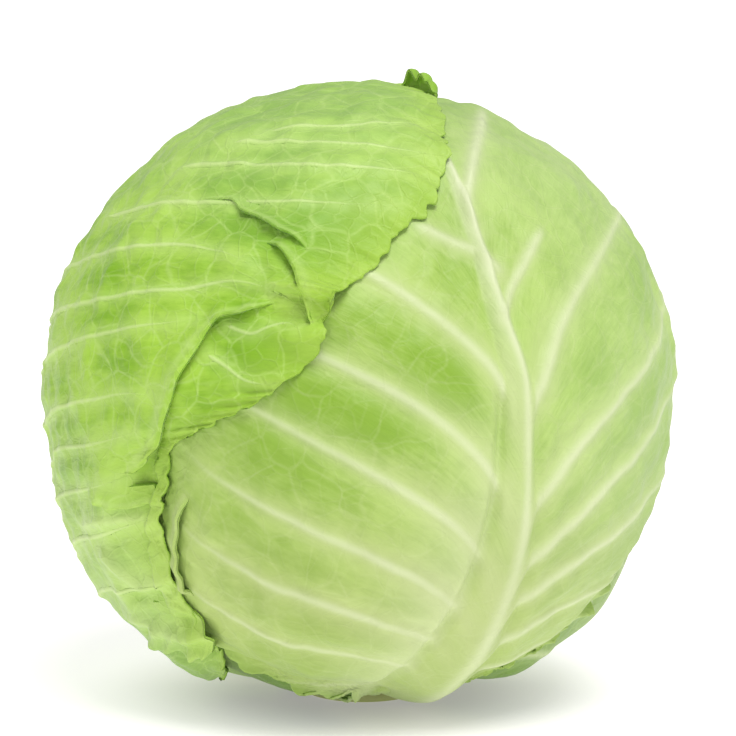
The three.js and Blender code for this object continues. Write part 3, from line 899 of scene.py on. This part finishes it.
LEFT_FOLDS = [(LIP, LIP_ROOT, 3.4, (0.12, 0.16)), (FLAP, FLAP_ROOT, 3.2, (0.15, 0.08)),
              (RIDGE, RIDGE_ROOT, 2.3, (0.5, 0.1)), (LOW_FOLD, LOW_FOLD_ROOT, 4.2, (0.15, 0.1)),
              (SIDE_FOLD, SIDE_FOLD_ROOT, 2.4, (0.3, 0.15))]
ROLL = [(-32.4, -12.7), (-35, -17), (-36.6, -22.3), (-37.4, -28), (-37, -32.5)]
ROLL_ROOT = [(-37, -8.6), (-40.5, -14), (-42.6, -20), (-44, -27), (-45, -34)]
HOLLOWS = [([(-29.5, 37.2), (-26.1, 36), (-22.4, 35.2), (-18.1, 34.2)], 1, 2.8),
           ([(-52.8, -33.3), (-47.2, -32.8), (-41, -30.7)], 2.2, 1.7),
           ([(-46.3, -42), (-40.3, -42.3), (-34.6, -42)], 2.4, 1.4),
           ([(-38.1, -4.4), (-39.6, -6.6), (-41.5, -8.9), (-43.4, -11)], 6.5, 2.6),
           ([(-56, -45.5), (-52, -46.5), (-47.4, -47), (-42.5, -47.5), (-38, -47)], 3, 2.2)]
print("folds:", len(LEFT_FOLDS), "hollows:", len(HOLLOWS))

# %% Hollows, curled margins and raised lines


def sink_hollows(grid):
    """Presses the blade in beside the folds, but not through the leaf below."""
    for angles, depth, width in HOLLOWS:
        distance, _ = distance_to_lines(grid["direction"], [smooth_line(angles, 12)])
        pressed = grid["radius"] - depth * bump(distance, width)
        grid["radius"] = np.maximum(pressed, np.minimum(grid["radius"], grid["floor"]))


def curled_margin(surface, line, radius, turn, seed, steps=16):
    """A margin rolled up off the surface along a line of directions, to the right of it."""
    count = len(line)
    along = np.linspace(0, 1, count)
    swing = np.radians(turn) * np.linspace(0, 1, steps)
    size = radius * ease(along, 0, 0.25) * (1 - ease(along, 0.75, 1))
    size = size * (1 + 0.22 * ripple(along * count, 15, seed)) + 0.2
    sideways = -unit(np.cross(line, np.gradient(line, axis=0)))
    base, masks = surface.look_up(np.repeat(line, steps, 0))
    out = base.reshape(count, steps) - 0.3 + size[:, None] * (1 - np.cos(swing))
    aside = size[:, None] * np.sin(swing)
    points = (line[:, None] * out[..., None] + aside[..., None] * sideways[:, None]).reshape(-1, 3)
    index = np.arange(len(points)).reshape(count, steps)
    return thicken(points, *sheet_faces(index, False), masks, CURL_SHEET)


def raise_line(grid, angles, height, width, shown):
    """Raises a soft ridge along a drawn line, as pale as a rib where it is shown."""
    distance, share = distance_to_lines(grid["direction"], [smooth_line(angles, 24)])
    crest = bump(distance, width) * ease(share, 0, 0.1) * (1 - ease(share, 0.8, 1))
    halo = bump(distance, 2.4 * width) * (1 - ease(share, 0.7, 1))
    grid["radius"] = grid["radius"] + height * crest
    grid["rib"] = np.maximum(grid["rib"], shown * crest)
    grid["pale"] = np.maximum(grid["pale"], halo)


# %% [markdown]
# ## Laying the leaves
# The leaves are made from the innermost outwards, each over the surfaces of those already laid. The front
# leaf's midrib forks high up into three finer ribs, which are drawn. The left leaf's ridges are drawn too.

# %% Make the leaves
LEFT_RIDGES = [[(-66, -22), (-58.4, -19.5), (-46.7, -17.4), (-39.9, -16.8)],
               [(-57.5, -24), (-52.7, -28), (-49.4, -30.7), (-39.7, -28.6)],
               [(-66, -39), (-56.8, -38.2), (-47.7, -39.7), (-38.9, -40.4)]]
LEFT_RIDGE_FORM = (1.1, 1.6, 0.35)
TOP_CURL = [(60, 74.5), (66, 76.5), (76, 78.8), (90, 80.8), (110, 82.5)]
TOP_RIB = [(26.4, 36), (26.1, 40.5), (26.3, 43.2), (29.2, 47.5), (34.8, 52.8), (45.2, 58.9), (91.9, 67.1)]
LEFT_FORK = [(28.6, 27), (27.4, 29.6), (25, 32.1), (20, 34.7), (14.9, 36.9), (9.5, 38.7)]
RIGHT_FORK = [(26.5, 19), (29.4, 24), (34.6, 29), (40, 33.3), (45.7, 36.7)]
FRONT_RIBS = [(TOP_RIB, 1.3, 1.6, 1.0), (LEFT_FORK, 0.7, 1.8, 0.8), (RIGHT_FORK, 0.9, 1.2, 0.9)]
surfaces = []
for each, finish, slot in zip(LEAVES, FINISHES, SLOTS):
    count, columns = each.grid
    rows = rows_of(each, count)
    seeds = [40 * each.layer + 20 * k for k in range(2)]
    grids = [side_grid(each, side, rows, columns_of(columns), seed, surfaces)
             for side, seed in zip(each.halves, seeds)]
    if each is front:
        for grid in grids:
            for rib in FRONT_RIBS:
                raise_line(grid, *rib)
    if each is left_wrapper:
        swell_between_veins(grids[1])
        for ridge in LEFT_RIDGES:
            raise_line(grids[1], ridge, *LEFT_RIDGE_FORM)
    surfaces.append(Surface(grids))
    if each is left_wrapper:
        sink_hollows(grids[1])
    piece(each.name + "_blade", [blade(grids)], finish, each.name)
front_surface, left_surface = surfaces[3:]

# %% Folds, the curl and veins on them
CURL_RADIUS, CURL_TURN = 1.6, 210
VEIN_RISE, VEIN_SHOWN = 0.22, 0.8
ROLL_HEIGHT = 3.2
left_folds = [fold_sheet(left_surface, *fold, seed=k) for k, fold in enumerate(LEFT_FOLDS)]
piece("left_leaf_folds", left_folds, wrapper_left, "left_leaf")
curl = curled_margin(left_surface, smooth_line(TOP_CURL, 60), CURL_RADIUS, CURL_TURN, seed=3)
piece("left_leaf_curled_tip", [curl], wrapper_left, "left_leaf")
veins = [vein_ribbon(left_surface, line, width, VEIN_RISE * width, VEIN_SHOWN)
         for line, width in zip(left_veins, VEIN_WIDTHS)]
piece("left_leaf_veins", veins, wrapper_left, "left_leaf")
front_folds = [fold_sheet(front_surface, ROLL, ROLL_ROOT, ROLL_HEIGHT)]
piece("front_leaf_rolled_margin", front_folds, wrapper_front, "front_leaf")

# %% [markdown]
# ## The heart
# Under the wrappers the leaves are packed so tightly that only their overlapping margins show. One ball,
# stepped along a three-armed spiral, stands for them. It can be seen only from below, round the stem.

# %% The heart
HEART_CLEARANCE, HEART_ARMS, HEART_STEP = 2.2, 3, 1.6


def ball_faces(rings, turns):
    ring = 1 + np.arange((rings - 1) * turns).reshape(rings - 1, turns)
    wrap = join([ring, ring[:, :1]], 1)
    top = 1 + (rings - 1) * turns
    caps = [[0, wrap[0, k + 1], wrap[0, k]] for k in range(turns)]
    caps += [[top, wrap[-1, k], wrap[-1, k + 1]] for k in range(turns)]
    return grid_faces(wrap).tolist() + caps


def heart_part(rings, turns):
    polar = np.repeat(np.linspace(0, np.pi, rings + 1)[1:-1], turns)
    azimuth = np.tile(np.arange(turns) * 2 * np.pi / turns, rings - 1)
    polar, azimuth = join([[0], polar, [np.pi]]), join([[0], azimuth, [0]])
    arm = HEART_ARMS * azimuth / (2 * np.pi) + polar / np.pi
    margin = arm - np.floor(arm)
    level = np.sin(polar)
    direction = np.stack([level * np.sin(azimuth), -level * np.cos(azimuth), -np.cos(polar)], -1)
    radius = head_radius(polar) - HEART_CLEARANCE - HEART_STEP * level * margin
    return direction * radius[:, None], ball_faces(rings, turns), {"margin": margin}


def heart_finish():
    made = Finish("heart_leaf")
    body = made.blend(colour(190, 208, 132), colour(222, 232, 180), made.noise(40.0, 4.0))
    body = made.blend(body, colour(236, 240, 206), made.mask("margin") * 0.5)
    return made.shade(Base_Color=body, Roughness=0.4 + made.noise(60.0) * 0.15,
                      Normal=made.bump(made.noise(180.0), 0.3, 0.0006))


piece("heart_ball", [heart_part(60, 120)], heart_finish(), "heart")

# %% [markdown]
# ## The cut stem
# The stem was cut through flat just under the leaves. Its side carries the scars of the leaves that were
# pulled off, and the cut shows a pale pith inside a ring of harder, greener tissue. A turned profile with a
# little relief makes it.

# %% The stem
STEM_RADIUS, STEM_HEIGHT, STEM_SHOULDER = 16.5, 24.0, 15.5
STEM_RIPPLES = [(0.25, 14, 3), (0.12, 5, 6)]
STEM_PROFILE = [(0, 0), (4, 0), (8, 0), (12, 0), (15.2, 0), (16.1, 0.3), (STEM_RADIUS, 1.0)]
STEM_PROFILE += [(STEM_RADIUS, z) for z in np.linspace(2, STEM_SHOULDER, 12)]
STEM_PROFILE += [(15.2, 17.5), (13.2, 20), (9, 22), (4.5, 23.3), (0, STEM_HEIGHT)]


def stem_part(turns):
    rings = np.array(STEM_PROFILE[1:-1])
    azimuth = np.arange(turns) * 2 * np.pi / turns
    radius = np.repeat(rings[:, :1], turns, 1)
    height = np.repeat(rings[:, 1:], turns, 1)
    around = np.stack([np.cos(azimuth), np.sin(azimuth)], -1)[None] * STEM_RADIUS
    walls = join([np.broadcast_to(around, (len(rings), turns, 2)), height[..., None]], -1)
    uneven = ripples(walls, STEM_RIPPLES)
    scar = np.maximum(0, np.cos(4 * azimuth[None] - height * 0.6)) ** 6
    radius = radius - ease(height, 0.8, 3) * (1 - ease(height, 14, 18)) * (0.9 + 0.3 * uneven - 0.6 * scar)
    ring = np.stack([radius * np.cos(azimuth), radius * np.sin(azimuth), height], -1).reshape(-1, 3)
    points = join([[[0, 0, 0]], ring, [[0, 0, STEM_HEIGHT]]])
    out = np.linalg.norm(points[:, :2], axis=1) / STEM_RADIUS
    masks = {"out": out, "side": ease(points[:, 2], 0.3, 1.2)}
    return points - CENTRE, ball_faces(len(STEM_PROFILE) - 1, turns), masks


def stem_finish():
    made = Finish("stem_cut")
    grain = made.noise(300.0, 4.0)
    out = made.mask("out") + grain * 0.1
    pith = made.blend(colour(232, 228, 190), colour(216, 216, 160), made.ramp(out, 0.45, 0.75))
    pith = made.blend(pith, colour(178, 190, 110), made.ramp(out, 0.88, 1.02))
    side = made.blend(colour(188, 200, 120), colour(214, 214, 156), made.noise(120.0, 4.0))
    body = made.blend(pith, side, made.mask("side"))
    return made.shade(Base_Color=body, Roughness=0.5 + grain * 0.25, Normal=made.bump(grain, 0.4, 0.0005))


piece("stem_stub", [stem_part(96)], stem_finish(), "stem")

# %% [markdown]
# ## Floor, light and camera
# The floor is plain and white. Its glow is painted light: it glows a little, and more so away from the head,
# so that only a small shadow is left, and the dimmer glow round the head is a painted shadow. The world is a
# white tent, brightest at the horizon and below it, and one large soft lamp stands high in front. The camera
# stands far off with a long lens, a little above the head's middle.

# %% Floor
FLOOR_HALF = 6
SHADE_INNER, SHADE_OUTER = 0.025, 0.085
corners = [(x * FLOOR_HALF, y * FLOOR_HALF, 0) for x, y in ((-1, -1), (1, -1), (1, 1), (-1, 1))]
floor_mesh = bpy.data.meshes.new("floor")
floor_mesh.from_pydata(corners, [], [(0, 1, 2, 3)])
floor = add_object("floor", floor_mesh)
floor_finish = Finish("white_floor")
from_head = (floor_finish.axis("X") ** 2 + floor_finish.axis("Y") ** 2) ** 0.5
# Painted shadow and glow: the floor glows dimly round the head and brightly further off.
floor_glow_and_painted_shadow = floor_finish.blend(colour(146, 144, 146), colour(222, 222, 222),
                                floor_finish.ramp(from_head, SHADE_INNER, SHADE_OUTER))
# The grey base colour has a slight pink tint, painted against the green light the head throws on the floor.
floor_mesh.materials.append(floor_finish.shade(Base_Color=colour(194, 190, 191), Roughness=0.9,
                                               Emission_Color=floor_glow_and_painted_shadow, Emission_Strength=1.0))
print("floor:", 2 * FLOOR_HALF, "m wide")

# %% Light
TENT = [(0.0, 0.62), (0.2, 0.62), (0.42, 0.34), (0.75, 0.34), (1.0, 0.5)]
LAMP_WAY, LAMP_SPREAD, LAMP_STRENGTH = (0.25, -0.55, 1.2), 30, 2.12
world = bpy.data.worlds.new("white_tent")
bpy.context.scene.world = world
world.use_nodes = True
tent = world.node_tree
way = tent.nodes.new("ShaderNodeTexCoord")
height = tent.nodes.new("ShaderNodeSeparateXYZ")
brightness = tent.nodes.new("ShaderNodeValToRGB")
stops = brightness.color_ramp.elements
for (place, value), stop in zip(TENT, [stops[0], stops[1]] + [stops.new(0.5) for _ in TENT[2:]]):
    stop.position = place
    stop.color = (value, value, value, 1.0)
tent.links.new(way.outputs["Generated"], height.inputs[0])
tent.links.new(height.outputs["Z"], brightness.inputs["Fac"])
tent.links.new(brightness.outputs["Color"], tent.nodes["Background"].inputs["Color"])
lamp = bpy.data.lights.new("key", "SUN")
lamp.angle, lamp.energy = math.radians(LAMP_SPREAD), LAMP_STRENGTH
key = add_object("key", lamp)
key.rotation_euler = Vector(LAMP_WAY).to_track_quat("Z", "Y").to_euler()
bpy.context.scene.view_settings.view_transform = "Standard"
print("lamp:", key.name, "over", LAMP_SPREAD, "degrees of sky")

# %% Camera
DISTANCE, HEIGHT_ANGLE, LENS = 1150.0, math.radians(8.0), 200.0
AIM = CENTRE + np.array([1.4, 0.0, 5.4])
lens = bpy.data.cameras.new("camera")
lens.lens, lens.sensor_width, lens.clip_end = LENS, 36.0, 50.0
camera = add_object("camera", lens)
camera.location = (AIM + DISTANCE * np.array([0, -math.cos(HEIGHT_ANGLE), math.sin(HEIGHT_ANGLE)])) * MM
camera.rotation_euler = (math.pi / 2 - HEIGHT_ANGLE, 0, 0)
bpy.context.scene.camera = camera
print("camera at", [round(v, 3) for v in camera.location])
